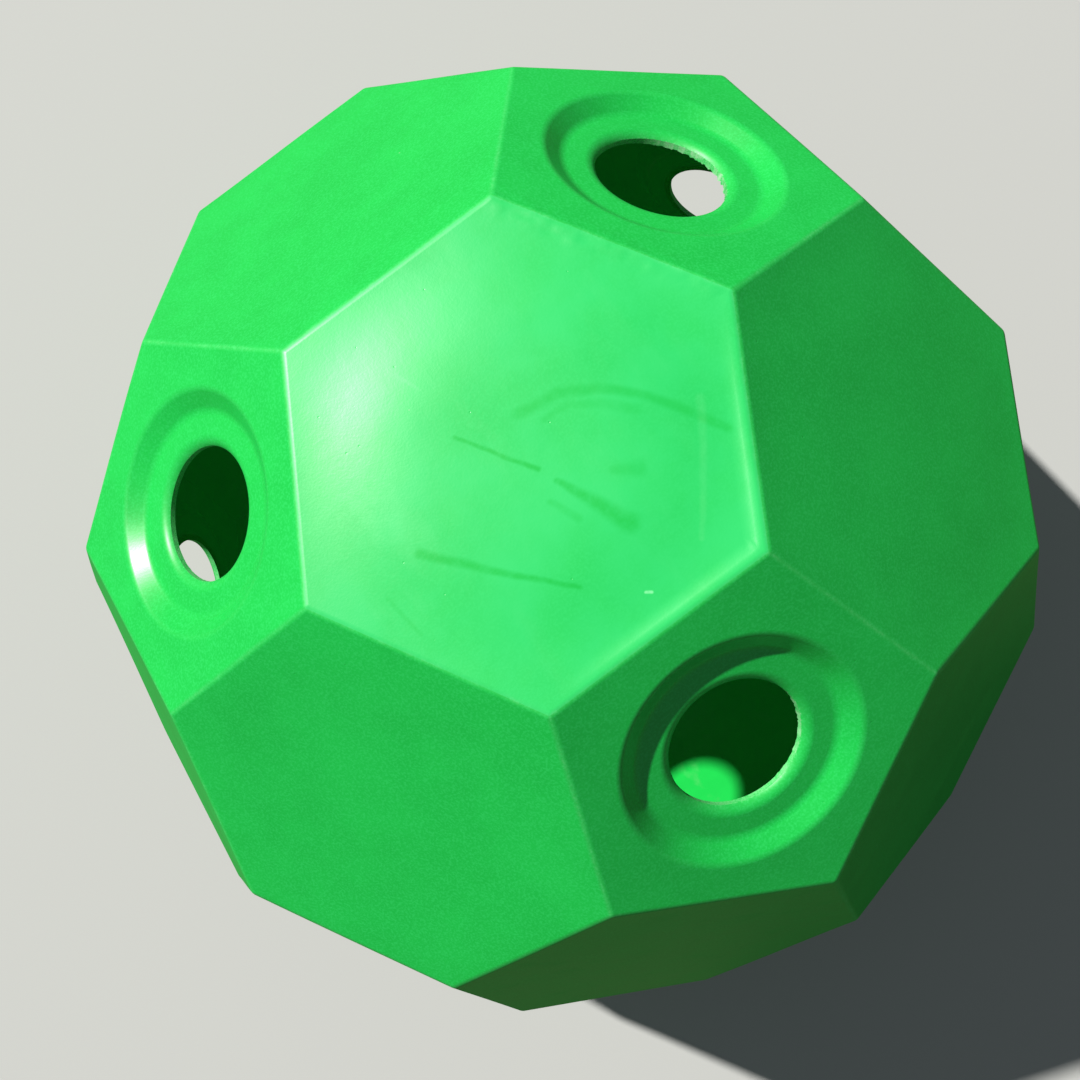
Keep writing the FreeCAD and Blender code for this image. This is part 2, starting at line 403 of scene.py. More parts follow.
def rise(face, points):
    """How far out of its ideal place a face's skin lies: its dome, its sink, waves, and the trimmed line."""
    dome = domes[face] * away_from_folds(face, points)
    sink = -RIDGE_HEIGHT * away_from_folds(face, points, ridged) if face == TOP_HEXAGON else 0.0
    closeness = np.exp(-(((distance_to_line(points, trimmed) - FOLD_RADIUS) / TRIM_REACH) ** 2))
    long_part = WAVE_HEIGHT * waves_at(points, long_waves) - WAVE_SETBACK
    return sink + dome + long_part + TRIM_HEIGHT * closeness * waves_at(points, trim_waves)


def uneven(face, points, facing, outwards):
    """Points moved outwards by their rise, and normals less the rise's slope times how far they face out."""
    steps = SLOPE_STEP * np.eye(3)
    rises = [rise(face, points + step) - rise(face, points - step) for step in steps]
    slope = np.stack(rises, axis=-1) / (2 * SLOPE_STEP)
    facing_out = np.sum(facing * outwards, axis=-1, keepdims=True)
    return points + rise(face, points)[..., None] * outwards, unit(facing - slope * facing_out)


dome_mm = domes * 1000
print(f"ridges of {RIDGE_HEIGHT * 1000:.2f} mm, domes from {dome_mm.min():.1f} to {dome_mm.max():.1f} mm")

# %% [markdown]
# ## The recess and its hole
#
# Each pentagon is dished: a rounded shoulder, a slope, a flat shelf, and a lip that rolls down into the
# hole. Its section is a chain of bends. A bend is part of a circle, so its normals are known too. The
# inside of the wall has the same centres with other radii, which keeps the wall's thickness even. A lathe
# or a Screw modifier could spin the section, but carrying it round the columns of the face joins it to the
# fold with no extra points.

# %% The section of the recess
HOLE_RADIUS = 0.025
LIP_BEND = 0.0018
LIP_ANGLE = math.radians(55)
SHELF_WIDTH = 0.0065
SHELF_DEPTH = 0.0055
SLOPE_ANGLE = math.radians(36)
TOE_RADIUS = 0.006
SHOULDER_BEND = 0.0015
BEND_STEPS = 8

lip_radius = LIP_BEND + WALL
shoulder_radius = SHOULDER_BEND + WALL
bends = TOE_RADIUS + shoulder_radius
straight = (SHELF_DEPTH - bends * (1 - math.cos(SLOPE_ANGLE))) / math.sin(SLOPE_ANGLE)
lip_centre = (HOLE_RADIUS + lip_radius * math.sin(LIP_ANGLE), -SHELF_DEPTH - lip_radius)
toe_centre = (lip_centre[0] + SHELF_WIDTH, TOE_RADIUS - SHELF_DEPTH)
slope_run = bends * math.sin(SLOPE_ANGLE) + straight * math.cos(SLOPE_ANGLE)
shoulder_centre = (toe_centre[0] + slope_run, -shoulder_radius)
cut_top = lip_centre[1] + lip_radius * math.cos(LIP_ANGLE)
lip_end = lip_centre[1] + LIP_BEND * math.cos(LIP_ANGLE)
lip_back = lip_centre[0] - LIP_BEND * math.sin(LIP_ANGLE)


def bend(centre, radius, start, end, hollow=False):
    """Rows of reach, height and the normal's reach and height, at angles from start to end off straight up.

    A point is the centre plus the radius times (sine, cosine). Its normal is (sine, cosine), turned round
    where the visible side is the hollow one.
    """
    angle = np.linspace(start, end, BEND_STEPS)
    spoke = np.column_stack([np.sin(angle), np.cos(angle)])
    return np.hstack([np.array(centre) + radius * spoke, -spoke if hollow else spoke])


outer_section = np.vstack([
    bend(shoulder_centre, shoulder_radius, 0, -SLOPE_ANGLE),
    bend(toe_centre, TOE_RADIUS, math.pi - SLOPE_ANGLE, math.pi, hollow=True),
    bend(lip_centre, lip_radius, 0, -LIP_ANGLE),
])
inner_section = np.vstack([
    bend(lip_centre, LIP_BEND, -LIP_ANGLE, 0, hollow=True),
    bend(toe_centre, TOE_RADIUS + WALL, math.pi, math.pi - SLOPE_ANGLE),
    bend(shoulder_centre, SHOULDER_BEND, -SLOPE_ANGLE, 0, hollow=True),
])
print(f"recess rim at {shoulder_centre[0] * 1000:.2f} mm from the hole's axis")
print(f"saw cut from {-cut_top * 1000:.2f} to {-lip_end * 1000:.2f} mm deep")

# %% [markdown]
# ## Strips
#
# A wall's surface is cut into strips wherever it has a sharp edge: the outside, the saw's cut, the end of
# the lip, the inside, and the hidden edge that meets the next wall. A strip is a grid: each row is one trip
# round the face, and its columns stand on the border's columns. Strips keep their own normals, so shading
# is smooth within a strip and crisp between two. Marking edges sharp would give the crisp edges, but not
# the exact normals at the border, where the next wall's points aren't in the same mesh.

# %% Strips of a wall
FOLD_STEPS = 6
INNER_FOLD_STEPS = 3
HEXAGON_RINGS = 16
INNER_HEXAGON_RINGS = 8
PENTAGON_RINGS = 9
RING_CROWDING = 1.8  # over 1, the rings crowd towards the fold, where the skin bends most


def strip(face, points, facing, outwards, worn, sawn, finish):
    """One smooth strip: rows of points and normals, how worn and how sawn they are, and its finish."""
    points, facing = uneven(face, points, facing, np.broadcast_to(outwards, points.shape))
    worn, sawn = (np.broadcast_to(value, points.shape[:2]) for value in (worn, sawn))
    return {"points": points, "facing": facing, "worn": worn, "sawn": sawn, "finish": finish}


def fold_rows(face, column_feet, column_leans, radius, steps):
    """Rows from border to flat: foot plus radius times a lean that swings back to the face's normal."""
    share = np.linspace(1, 0, steps + 1)[:, None, None]
    leans = swing(normals[face] + 0 * column_leans, column_leans, share)
    return column_feet + radius * leans, leans


def flat_rows(outline, inner_line, rings):
    """Rows that blend from an outline to an inner line in steps that grow, leaving out the outline itself."""
    share = np.linspace(0, 1, rings + 1)[1:, None, None] ** RING_CROWDING
    return outline + share * (inner_line - outline)


def section_rows(face, spokes, section):
    """A recess's section carried round the hole: reach along each column's spoke, height along the normal."""
    middle = distances[face] * normals[face]
    reach, height, facing_reach, facing_height = (section[:, [n], None] for n in range(4))
    points = middle + reach * spokes + height * normals[face]
    return points, facing_reach * spokes + facing_height * normals[face]


def hexagon_strips(face):
    """A hexagon wall: fold and flat to its middle outside, back out inside, and the edge between them."""
    column_feet, column_leans = columns_of(face)
    sides = []
    outer_rows = (FOLD_RADIUS, FOLD_STEPS, HEXAGON_RINGS)
    inner_rows = (FOLD_RADIUS - WALL, INNER_FOLD_STEPS, INNER_HEXAGON_RINGS)
    for radius, steps, rings in (outer_rows, inner_rows):
        fold, leans = fold_rows(face, column_feet, column_leans, radius, steps)
        middle = fold[-1] * 0 + normals[face] * (fold[-1, 0] @ normals[face])
        flat = flat_rows(fold[-1], middle, rings)
        upright = np.broadcast_to(normals[face], flat.shape)
        worn = np.r_[np.linspace(1, 0, steps + 1), np.zeros(rings)]
        sides.append((np.vstack([fold, flat]), np.vstack([leans, upright]), worn))
    (outer, outer_leans, worn), (inner, inner_leans, _) = sides
    outside = strip(face, outer, outer_leans, outer_leans, worn[:, None], 0, OUTSIDE)
    inside = strip(face, inner[::-1], -inner_leans[::-1], inner_leans[::-1], 0, 0, INSIDE)
    return [outside, inside, meeting_edge(inside, outside)]


def meeting_edge(inside, outside):
    """The hidden edge from the inside's border to the outside's, where the next wall begins."""
    points = np.stack([inside["points"][-1], outside["points"][0]])
    blank = np.zeros(points.shape[:2])
    return {"points": points, "facing": None, "worn": blank, "sawn": blank, "finish": INSIDE}


OUTSIDE, SAWN, INSIDE = range(3)
print(f"{FOLD_STEPS} steps over a fold, {HEXAGON_RINGS} rings on a hexagon, {PENTAGON_RINGS} on a pentagon")

# %% [markdown]
# ## Saw teeth
#
# The saw leaves small torn teeth along the end of the lip, pale where the plastic is stretched. They are
# worst on one side of each hole, where the saw broke through last. Each column gets a random tooth, scaled
# by how far that column lies towards the hole's rough side. Cutting teeth with a Boolean would be slower
# and would scar the mesh.

# %% A pentagon wall with its teeth
TOOTH_LENGTH = 0.0009
TOOTH_LEAN = 0.0005
NICK_DEPTH = 0.00022
TOOTH_POWER = 1.5  # over 1, small teeth outnumber large ones
SMOOTH_SIDE = 0.15  # of a tooth's size, square to the rough side
LEAST_TOOTH = 0.06
SPOKE_DECIMALS = 6  # spokes alike to this many decimals are one
# how rough a hole is, and towards which side
TEETH = {"pentagon_wall_crown_1": (0.6, (1.0, -0.1, 0)), "pentagon_wall_crown_2": (1.0, (0.94, -0.3, -0.16)),
         "pentagon_wall_crown_3": (0.2, (-0.4, -0.6, 0))}
COMMON_TEETH = 0.4
LEAST_FUR = 0.12
FUR_ON_LIP = 0.6  # of the fur on the sawn edge
SHOULDER_WEAR = 0.3
LIP_WEAR = 0.7


def teeth_along(spokes, amount, rough_side):
    """A random tooth for each column, larger towards the rough side. Columns on one spoke share one tooth."""
    _, first, place = np.unique(spokes.round(SPOKE_DECIMALS), axis=0, return_index=True, return_inverse=True)
    towards = spokes[first] @ unit(rough_side)
    share = np.clip(SMOOTH_SIDE + (1 - SMOOTH_SIDE) * towards, LEAST_TOOTH, 1)
    size = rng.random(len(first)) ** TOOTH_POWER * share
    return amount * size[place.ravel()]


def pentagon_strips(face, name):
    """A pentagon wall: outside, saw's cut, lip's end, inside, and the edge that meets its neighbours."""
    column_feet, column_leans = columns_of(face)
    normal = normals[face]
    fold, leans = fold_rows(face, column_feet, column_leans, FOLD_RADIUS, FOLD_STEPS)
    spokes = unit(fold[-1] - normal * distances[face])
    amount, rough_side = TEETH.get(name, (COMMON_TEETH, rng.normal(size=3)))
    teeth = teeth_along(spokes, amount, rough_side)[:, None]

    recess, recess_facing = section_rows(face, spokes, outer_section)
    recess[-1] += NICK_DEPTH * teeth * (spokes + normal)
    flat = flat_rows(fold[-1], recess[0], PENTAGON_RINGS)[:-1]
    upright = np.broadcast_to(normal, flat.shape)
    outer, outer_facing = np.vstack([fold, flat, recess]), np.vstack([leans, upright, recess_facing])
    outwards = np.vstack([leans, normal + 0 * outer[len(fold):]])
    on_shoulder = np.sin(np.linspace(0, math.pi, BEND_STEPS))
    on_lip = np.linspace(0, 1, BEND_STEPS)
    over_fold = np.linspace(1, 0, FOLD_STEPS + 1)
    in_recess = np.r_[SHOULDER_WEAR * on_shoulder, np.zeros(BEND_STEPS), LIP_WEAR * on_lip]
    worn = np.r_[over_fold, np.zeros(len(flat)), in_recess]
    fur = np.clip(LEAST_FUR + teeth.T, 0, 1)
    on_edge = np.r_[np.zeros(len(outer) - 1), FUR_ON_LIP]
    outside = strip(face, outer, outer_facing, outwards, worn[:, None], on_edge[:, None] * fur, OUTSIDE)

    middle = distances[face] * normal
    tip_reach, tip_height = HOLE_RADIUS - TOOTH_LEAN * teeth, lip_end - TOOTH_LENGTH * teeth
    tooth_tips = middle + tip_reach * spokes + tip_height * normal
    cut = np.stack([recess[-1], tooth_tips])
    end_back = middle + lip_back * spokes + lip_end * normal
    end = np.stack([tooth_tips, end_back])
    sawn_cut = strip(face, cut, np.broadcast_to(-spokes, cut.shape), normal, 0, fur, SAWN)
    sawn_end = strip(face, end, np.broadcast_to(-normal, end.shape), normal, 0, fur, SAWN)

    inner_fold, inner_leans = fold_rows(face, column_feet, column_leans, FOLD_RADIUS - WALL, INNER_FOLD_STEPS)
    inner_recess, inner_recess_facing = section_rows(face, spokes, inner_section)
    inner_flat = flat_rows(inner_fold[-1], inner_recess[-1], PENTAGON_RINGS)[-2::-1]
    inner = np.vstack([inner_recess, inner_flat, inner_fold[::-1]])
    inner_facing = np.vstack([inner_recess_facing, 0 * inner_flat - normal, -inner_leans[::-1]])
    inner_out = np.vstack([0 * inner_recess + normal, 0 * inner_flat + normal, inner_leans[::-1]])
    inside = strip(face, inner, inner_facing, inner_out, 0, 0, INSIDE)
    return [outside, sawn_cut, sawn_end, inside, meeting_edge(inside, outside)]


print(f"teeth up to {TOOTH_LENGTH * 1000:.1f} mm")

# %% [markdown]
# ## From strips to a mesh
#
# The strips' grids are joined where their points coincide: at sharp edges, at corners where many columns
# share a foot, and at a hexagon's middle. Quads that lose a side there become triangles, and those that
# lose two are dropped, so the wall is a closed solid with no slivers. Merging by distance inside Blender
# would also work, but the normals of each quad's four corners have to be carried along, which is simple
# while everything is an array.

# %% Build a mesh
NO_LENGTH = 1e-12  # a collapsed quad's cross product is shorter than this
WELD_DECIMALS = 9  # points alike to this many decimals of a metre are one


def quads_of(strips):
    """Every strip's quads, anticlockwise from outside, as numbers into the strips' points put end to end."""
    found, first = [], 0
    for each in strips:
        rows, columns = each["points"].shape[:2]
        grid = first + np.arange(rows * columns).reshape(rows, columns)
        following = np.roll(grid, -1, axis=1)
        found.append(np.stack([grid[:-1], following[:-1], following[1:], grid[1:]], axis=-1).reshape(-1, 4))
        first += rows * columns
    return found


def corner_normals(strips, quads, points):
    """The normal at each quad's four corners: the strip's own, or the quad's where the strip has none."""
    found, first = [], 0
    for each, numbers in zip(strips, quads):
        if each["facing"] is None:
            a, b, c, d = (points[numbers[:, n]] for n in range(4))
            cross = np.cross(c - a, d - b)
            length = np.maximum(np.linalg.norm(cross, axis=1, keepdims=True), NO_LENGTH)
            found.append(np.repeat((cross / length)[:, None], 4, axis=1))
        else:
            found.append(each["facing"].reshape(-1, 3)[numbers - first])
        first += each["points"][..., 0].size
    return np.vstack(found)


def mesh_from(strips, name):
    """A closed mesh from strips: coinciding points welded, collapsed quads made triangles, normals kept."""
    points = np.vstack([each["points"].reshape(-1, 3) for each in strips])
    quads = quads_of(strips)
    facing = corner_normals(strips, quads, points)
    finish = np.concatenate([np.full(len(numbers), each["finish"]) for each, numbers in zip(strips, quads)])
    places, welded_to = np.unique(points.round(WELD_DECIMALS), axis=0, return_inverse=True)
    welded_to = welded_to.ravel()
    welded = welded_to[np.vstack(quads)]
    top_lost = welded[:, 0] == welded[:, 1]
    foot_lost = welded[:, 2] == welded[:, 3]
    cases = (
        (~top_lost & ~foot_lost, [0, 1, 2, 3]),
        (top_lost & ~foot_lost, [0, 2, 3]),
        (foot_lost & ~top_lost, [0, 1, 2]),
    )
    faces, loop_normals, finishes = [], [], []
    for chosen, kept in cases:
        faces += welded[chosen][:, kept].tolist()
        loop_normals.append(facing[chosen][:, kept].reshape(-1, 3))
        finishes.append(finish[chosen])
    mesh = bpy.data.meshes.new(name)
    mesh.from_pydata(places, [], faces)
    mesh.polygons.foreach_set("use_smooth", np.ones(len(faces), bool))
    mesh.polygons.foreach_set("material_index", np.concatenate(finishes).astype(np.int32))
    for label in ("worn", "sawn"):
        value = np.zeros(len(places))
        np.maximum.at(value, welded_to, np.concatenate([each[label].ravel() for each in strips]))
        mesh.attributes.new(label, "FLOAT", "POINT").data.foreach_set("value", value.astype(np.float32))
    mesh.update()
    mesh.normals_split_custom_set(np.vstack(loop_normals))
    return mesh


# %% [markdown]
# ## The 32 walls
#
# Each CAD node says by its place which face it is: its box's middle points the same way as one normal. So
# the names come from the frame, and no list of names has to be kept in step with the CAD.

# %% Build the walls
walls = {}
for node in sorted(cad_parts):
    face = face_of(node)
    strips = hexagon_strips(face) if face >= FIRST_HEXAGON else pentagon_strips(face, node)
    wall = add_object(node.replace("wall", "panel"), mesh_from(strips, node))
    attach(wall, "root")
    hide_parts(node)
    walls[node] = wall
print(f"{len(walls)} walls, {sum(len(wall.data.polygons) for wall in walls.values())} faces")

# %% [markdown]
# ## Shader groups
#
# Four effects make this plastic look real: a fine grain from the mould, a cloudy unevenness in the colour,
# wear on the folds, and scuffs. Each is a node group with named inputs and outputs, so every finish can use
# it with values of its own. The groups read a place in metres on the ball, and put out only heights and
# masks; the shader itself stays in the material. Painted textures could be closer to one real ball, but
# would fix the resolution and need every wall unwrapped.

# %% Helpers for nodes
def add_node(tree, kind, **settings):
    """A new shader node with its settings, such as operation="MULTIPLY"."""
    node = tree.nodes.new("ShaderNode" + kind)
    for name, value in settings.items():
        setattr(node, name, value)
    return node


def feed(tree, socket, source):
    """Joins a socket to another node's output, or gives it a plain value."""
    if isinstance(source, bpy.types.NodeSocket):
        tree.links.new(source, socket)
    else:
        socket.default_value = source


def calculate(tree, operation, *sources, clamp=False):
    """The output of a Math node on the sources."""
    node = add_node(tree, "Math", operation=operation, use_clamp=clamp)
    for socket, source in zip(node.inputs, sources):
        feed(tree, socket, source)
    return node.outputs[0]


def times(tree, first, second, added=None):
    """The product of two sources, with a third one added where it is given."""
    if added is None:
        return calculate(tree, "MULTIPLY", first, second)
    return calculate(tree, "MULTIPLY_ADD", first, second, added)


def between(tree, value, start, end, low_end=0.0, high_end=1.0):
    """A value carried smoothly from one range to another, and held at its ends."""
    node = add_node(tree, "MapRange", interpolation_type="SMOOTHSTEP")
    for socket, source in zip(node.inputs, (value, start, end, low_end, high_end)):
        feed(tree, socket, source)
    return node.outputs["Result"]


def noise(tree, place, size, detail=2.0, rough=0.5):
    """A noise whose blobs are about one size in metres across, from 0 to 1."""
    node = add_node(tree, "TexNoise")
    feed(tree, node.inputs["Vector"], place)
    feed(tree, node.inputs["Scale"], 1 / size)
    feed(tree, node.inputs["Detail"], detail)
    feed(tree, node.inputs["Roughness"], rough)
    return node.outputs["Fac"]


def cells(tree, place, size, feature="F1"):
    """Cells of one size in metres: the distance from a cell's middle in cell sizes, and a random number."""
    node = add_node(tree, "TexVoronoi", feature=feature)
    feed(tree, node.inputs["Vector"], place)
    feed(tree, node.inputs["Scale"], 1 / size)
    number = add_node(tree, "SeparateColor")
    feed(tree, number.inputs[0], node.outputs["Color"])
    return node.outputs["Distance"], number.outputs[0]


def new_group(name, inputs, outputs):
    """A node group with named sockets. Inputs are name: default, a vector where the default is a tuple."""
    tree = bpy.data.node_groups.new(name, "ShaderNodeTree")
    for label, default in inputs.items():
        kind = "NodeSocketVector" if isinstance(default, tuple) else "NodeSocketFloat"
        tree.interface.new_socket(label, in_out="INPUT", socket_type=kind).default_value = default
    for label in outputs:
        tree.interface.new_socket(label, in_out="OUTPUT", socket_type="NodeSocketFloat")
    return tree, tree.nodes.new("NodeGroupInput").outputs, tree.nodes.new("NodeGroupOutput").inputs


def use_group(tree, group, **values):
    """A group placed in a material. Underscores stand for the spaces in its inputs' names."""
    node = add_node(tree, "Group", node_tree=group)
    for label, value in values.items():
        feed(tree, node.inputs[label.replace("_", " ")], value)
    return node.outputs


print("helpers ready")

# %% [markdown]
# ### Mould grain
#
# The mould's steel is blasted, and the plastic copies its texture as a low, even pebble. Here and there an
# air bubble in the powder leaves a pinhole. The pebble is noise at two sizes, and the pinholes are the
# middles of a few random cells. The heights of the pebble and the ripple are inputs, because the inside of
# the ball never touched the mould and is smoother.

# %% Group: mould grain
PEBBLE = 0.0009
COARSE_PEBBLE = PEBBLE * 6
COARSE_HEIGHT = 1.2  # as a share of the fine pebble's
RIPPLE_LENGTH = PEBBLE * 14
PINHOLE_SPACING = 0.006
PINHOLE_RADIUS = 0.07  # in spacings
PINHOLE_SHARE = 0.22  # of the cells that have one
PINHOLE_DEPTH = 2.0  # as a share of the fine pebble's height

mould_grain, given, result = new_group(
    "Mould grain", {"Place": (0, 0, 0), "Grain": 1.0, "Ripple": 0.0}, ["Height", "Speckle", "Pinholes"])
tree, place = mould_grain, given["Place"]
pebble = noise(tree, place, PEBBLE, detail=3.0, rough=0.6)
coarse = noise(tree, place, COARSE_PEBBLE)
ripple = noise(tree, place, RIPPLE_LENGTH, detail=0.0)
distance, number = cells(tree, place, PINHOLE_SPACING)
hole_here = calculate(tree, "LESS_THAN", number, PINHOLE_SHARE)
pinhole = times(tree, between(tree, distance, PINHOLE_RADIUS, PINHOLE_RADIUS / 2), hole_here)
pebbles = calculate(tree, "ADD", pebble, times(tree, coarse, COARSE_HEIGHT))
rippled = times(tree, ripple, given["Ripple"], times(tree, pebbles, given["Grain"]))
feed(tree, result["Height"], calculate(tree, "SUBTRACT", rippled, times(tree, pinhole, PINHOLE_DEPTH)))
feed(tree, result["Speckle"], pebble)
feed(tree, result["Pinholes"], pinhole)
print(f"pebble {PEBBLE * 1000:.1f} mm, pinholes in {PINHOLE_SHARE:.0%} of the cells")

# %% [markdown]
# ### Cloudy tone
#
# Pigment and powder never melt together quite evenly, sun bleaches the upper faces in patches, and hands
# leave dull smears. Two sizes of noise give a tone from 0 to 1 with a middle of a half, and thin stretched
# noise gives the smears. The alternative, a different colour for each wall, would show the folds as seams.

# %% Group: cloudy tone
CLOUD_SIZE = 0.055
BLOTCH_SIZE = 0.014
SMEAR_SIZE = 0.02
SMEAR_STRETCH = (1.0, 0.35, 1.0)
SMEAR_TURN = (0.4, 0.2, 0.7)  # in radians about X, Y and Z
CLOUD_SHARE = 0.6  # of the tone, the rest is blotches
TONE_RANGE = (0.32, 0.68)  # of the noise, spread over 0 to 1
SMEAR_RANGE = (0.52, 0.72)

cloudy_tone, given, result = new_group("Cloudy tone", {"Place": (0, 0, 0)}, ["Tone", "Smears"])
tree, place = cloudy_tone, given["Place"]
clouds = noise(tree, place, CLOUD_SIZE, detail=3.0)
blotches = noise(tree, place, BLOTCH_SIZE, detail=4.0, rough=0.6)
both = times(tree, blotches, 1 - CLOUD_SHARE, times(tree, clouds, CLOUD_SHARE))
feed(tree, result["Tone"], between(tree, both, *TONE_RANGE))
stretch = add_node(tree, "Mapping")
feed(tree, stretch.inputs["Vector"], place)
feed(tree, stretch.inputs["Scale"], SMEAR_STRETCH)
feed(tree, stretch.inputs["Rotation"], SMEAR_TURN)
smears = noise(tree, stretch.outputs[0], SMEAR_SIZE, detail=6.0, rough=0.65)
feed(tree, result["Smears"], between(tree, smears, *SMEAR_RANGE))
print(f"clouds of {CLOUD_SIZE * 1000:.0f} mm and blotches of {BLOTCH_SIZE * 1000:.0f} mm")

# %% [markdown]
# ### Fold wear
#
# The folds are what rolls over stones and floors, so they are rubbed paler and are finely scratched.
# Blender could find edges with a Pointiness or a Bevel node, but the mesh already knows how near each point
# is to a fold: the attribute "worn" is 1 on a fold's middle and falls to 0 on the flat. Noise breaks it up,
# so the wear comes and goes.

# %% Group: fold wear
WEAR_PATCH = 0.009
WEAR_GRIT = 0.0013
WEAR_RANGE = (0.35, 0.7)  # of both noises, spread over 0 to 1
WEAR_POWER = 1.6  # over 1, the wear keeps to the fold's middle
EVEN_WEAR = 0.2  # left where the noises break it up

fold_wear, given, result = new_group("Fold wear", {"Place": (0, 0, 0), "Worn": 0.0, "Amount": 0.5}, ["Mask"])
tree, place = fold_wear, given["Place"]
patches = noise(tree, place, WEAR_PATCH, detail=3.0)
grit = noise(tree, place, WEAR_GRIT, detail=3.0, rough=0.7)
broken = times(tree, between(tree, patches, *WEAR_RANGE), between(tree, grit, *WEAR_RANGE))
steep = calculate(tree, "POWER", given["Worn"], WEAR_POWER)
worn_here = times(tree, steep, times(tree, broken, 1 - EVEN_WEAR, EVEN_WEAR))
feed(tree, result["Mask"], calculate(tree, "MULTIPLY", worn_here, given["Amount"], clamp=True))
print(f"wear in patches of {WEAR_PATCH * 1000:.0f} mm")

# %% [markdown]
# ### Scuff
#
# A scuff is one stroke from a point to another, with a width at each end. The place is first moved a little
# by noise, so the stroke isn't ruled; then its share of the way along gives the nearest point and the width
# there. The mask is full on the line and falls off over the width, and grit breaks it up. A stroke in a
# group costs a few nodes, and its ends stay numbers that can be read and changed.

# %% Group: scuff
WOBBLE = 0.0009
WOBBLE_SIZE = 0.011
SCUFF_GRIT = 0.0035
STROKE_EDGE = (1.25, 0.15)  # where a stroke begins and where it is full, in widths from its line
GRIT_RANGE = (0.3, 0.62)
LEAST_GRIT = 0.55

scuff_inputs = {
    "Place": (0, 0, 0), "From": (0, 0, 0), "To": (0, 0.01, 0),
    "Width From": 0.001, "Width To": 0.001, "Strength": 1.0,
}
scuff, given, result = new_group("Scuff", scuff_inputs, ["Mask"])
tree, place = scuff, given["Place"]


def vectors(operation, *sources):
    """The Vector Math node on the sources."""
    node = add_node(tree, "VectorMath", operation=operation)
    for socket, source in zip(node.inputs, sources):
        feed(tree, socket, source)
    return node.outputs


wobble = add_node(tree, "TexNoise")
feed(tree, wobble.inputs["Vector"], place)
feed(tree, wobble.inputs["Scale"], 1 / WOBBLE_SIZE)
centred = vectors("SUBTRACT", wobble.outputs["Color"], (0.5, 0.5, 0.5))[0]
moved = vectors("ADD", place, vectors("MULTIPLY", centred, (2 * WOBBLE, 2 * WOBBLE, 0))[0])[0]
level = vectors("MULTIPLY", moved, (1, 1, 0))[0]  # the top face is level, so heights are left out
run = vectors("SUBTRACT", given["To"], given["From"])[0]
ahead = vectors("SUBTRACT", level, given["From"])[0]
run_squared = vectors("DOT_PRODUCT", run, run)["Value"]
share = calculate(tree, "DIVIDE", vectors("DOT_PRODUCT", ahead, run)["Value"], run_squared, clamp=True)
scaled_run = add_node(tree, "VectorMath", operation="SCALE")
feed(tree, scaled_run.inputs[0], run)
feed(tree, scaled_run.inputs["Scale"], share)
off_line = vectors("LENGTH", vectors("SUBTRACT", ahead, scaled_run.outputs[0])[0])["Value"]
widening = calculate(tree, "SUBTRACT", given["Width To"], given["Width From"])
width = times(tree, widening, share, given["Width From"])
stroke = between(tree, calculate(tree, "DIVIDE", off_line, width), *STROKE_EDGE)
grit = between(tree, noise(tree, place, SCUFF_GRIT, detail=4.0, rough=0.7), *GRIT_RANGE)
mask = times(tree, stroke, times(tree, grit, 1 - LEAST_GRIT, LEAST_GRIT))
feed(tree, result["Mask"], calculate(tree, "MULTIPLY", mask, given["Strength"], clamp=True))
print("scuffs wobble by", WOBBLE * 1000, "mm")

# %% [markdown]
# ## The finishes
#
# There are three finishes and one variant. The outside is satin green with grain, cloudy tone and fold
# wear. The top face has the same finish with its own scuffs. The sawn edge is paler, dull and furred. The
# inside is green too, but shinier and rippled like orange peel, because there the plastic set against air.
# Small functions build the parts that they share, so the greens can't drift apart.

# %% Colours
GREEN = (0.010, 0.545, 0.070)
GREEN_DEEP = (0.008, 0.49, 0.060)
GREEN_PALE = (0.040, 0.70, 0.155)
GREEN_WORN = (0.24, 0.86, 0.36)
GREEN_RUBBED = (0.010, 0.50, 0.065)
DUST = (0.42, 0.62, 0.40)
# painted sky reflection: a paler, bluer green laid in patches over the top face only
GREEN_SKY_SHEEN = (0.026, 0.62, 0.14)
SAWN_PALE = (0.13, 0.70, 0.21)
SAWN_WHITE = (0.42, 0.80, 0.44)
SKIN_IOR = 1.52


def blend_colours(tree, share, low_colour, high_colour):
    """A Mix node's colour: the first colour where the share is 0, the second where it is 1."""
    node = add_node(tree, "Mix", data_type="RGBA")
    for label, source in (("Factor", share), ("A", low_colour), ("B", high_colour)):
        feed(tree, node.inputs[label], (*source, 1) if isinstance(source, tuple) else source)
    return node.outputs["Result"]


def start_material(name):
    """A material with its tree, its Principled shader and the place on the ball."""
    material = bpy.data.materials.new(name)
    material.use_nodes = True
    tree = material.node_tree
    return material, tree, tree.nodes["Principled BSDF"], add_node(tree, "TexCoord").outputs["Object"]


def attribute(tree, label):
    """One of the mesh's own numbers: "worn" or "sawn"."""
    return add_node(tree, "Attribute", attribute_name=label).outputs["Fac"]


def finish_shader(tree, shader, colour, roughness, height, depth):
    """Feeds the shader. The depth, in metres, is what a height of 1 stands for in its Bump node."""
    feed(tree, shader.inputs["Base Color"], colour)
    feed(tree, shader.inputs["Roughness"], roughness)
    feed(tree, shader.inputs["IOR"], SKIN_IOR)
    node = add_node(tree, "Bump")
    feed(tree, node.inputs["Distance"], depth)
    feed(tree, node.inputs["Height"], height)
    feed(tree, shader.inputs["Normal"], node.outputs["Normal"])


print("greens:", GREEN, GREEN_PALE)

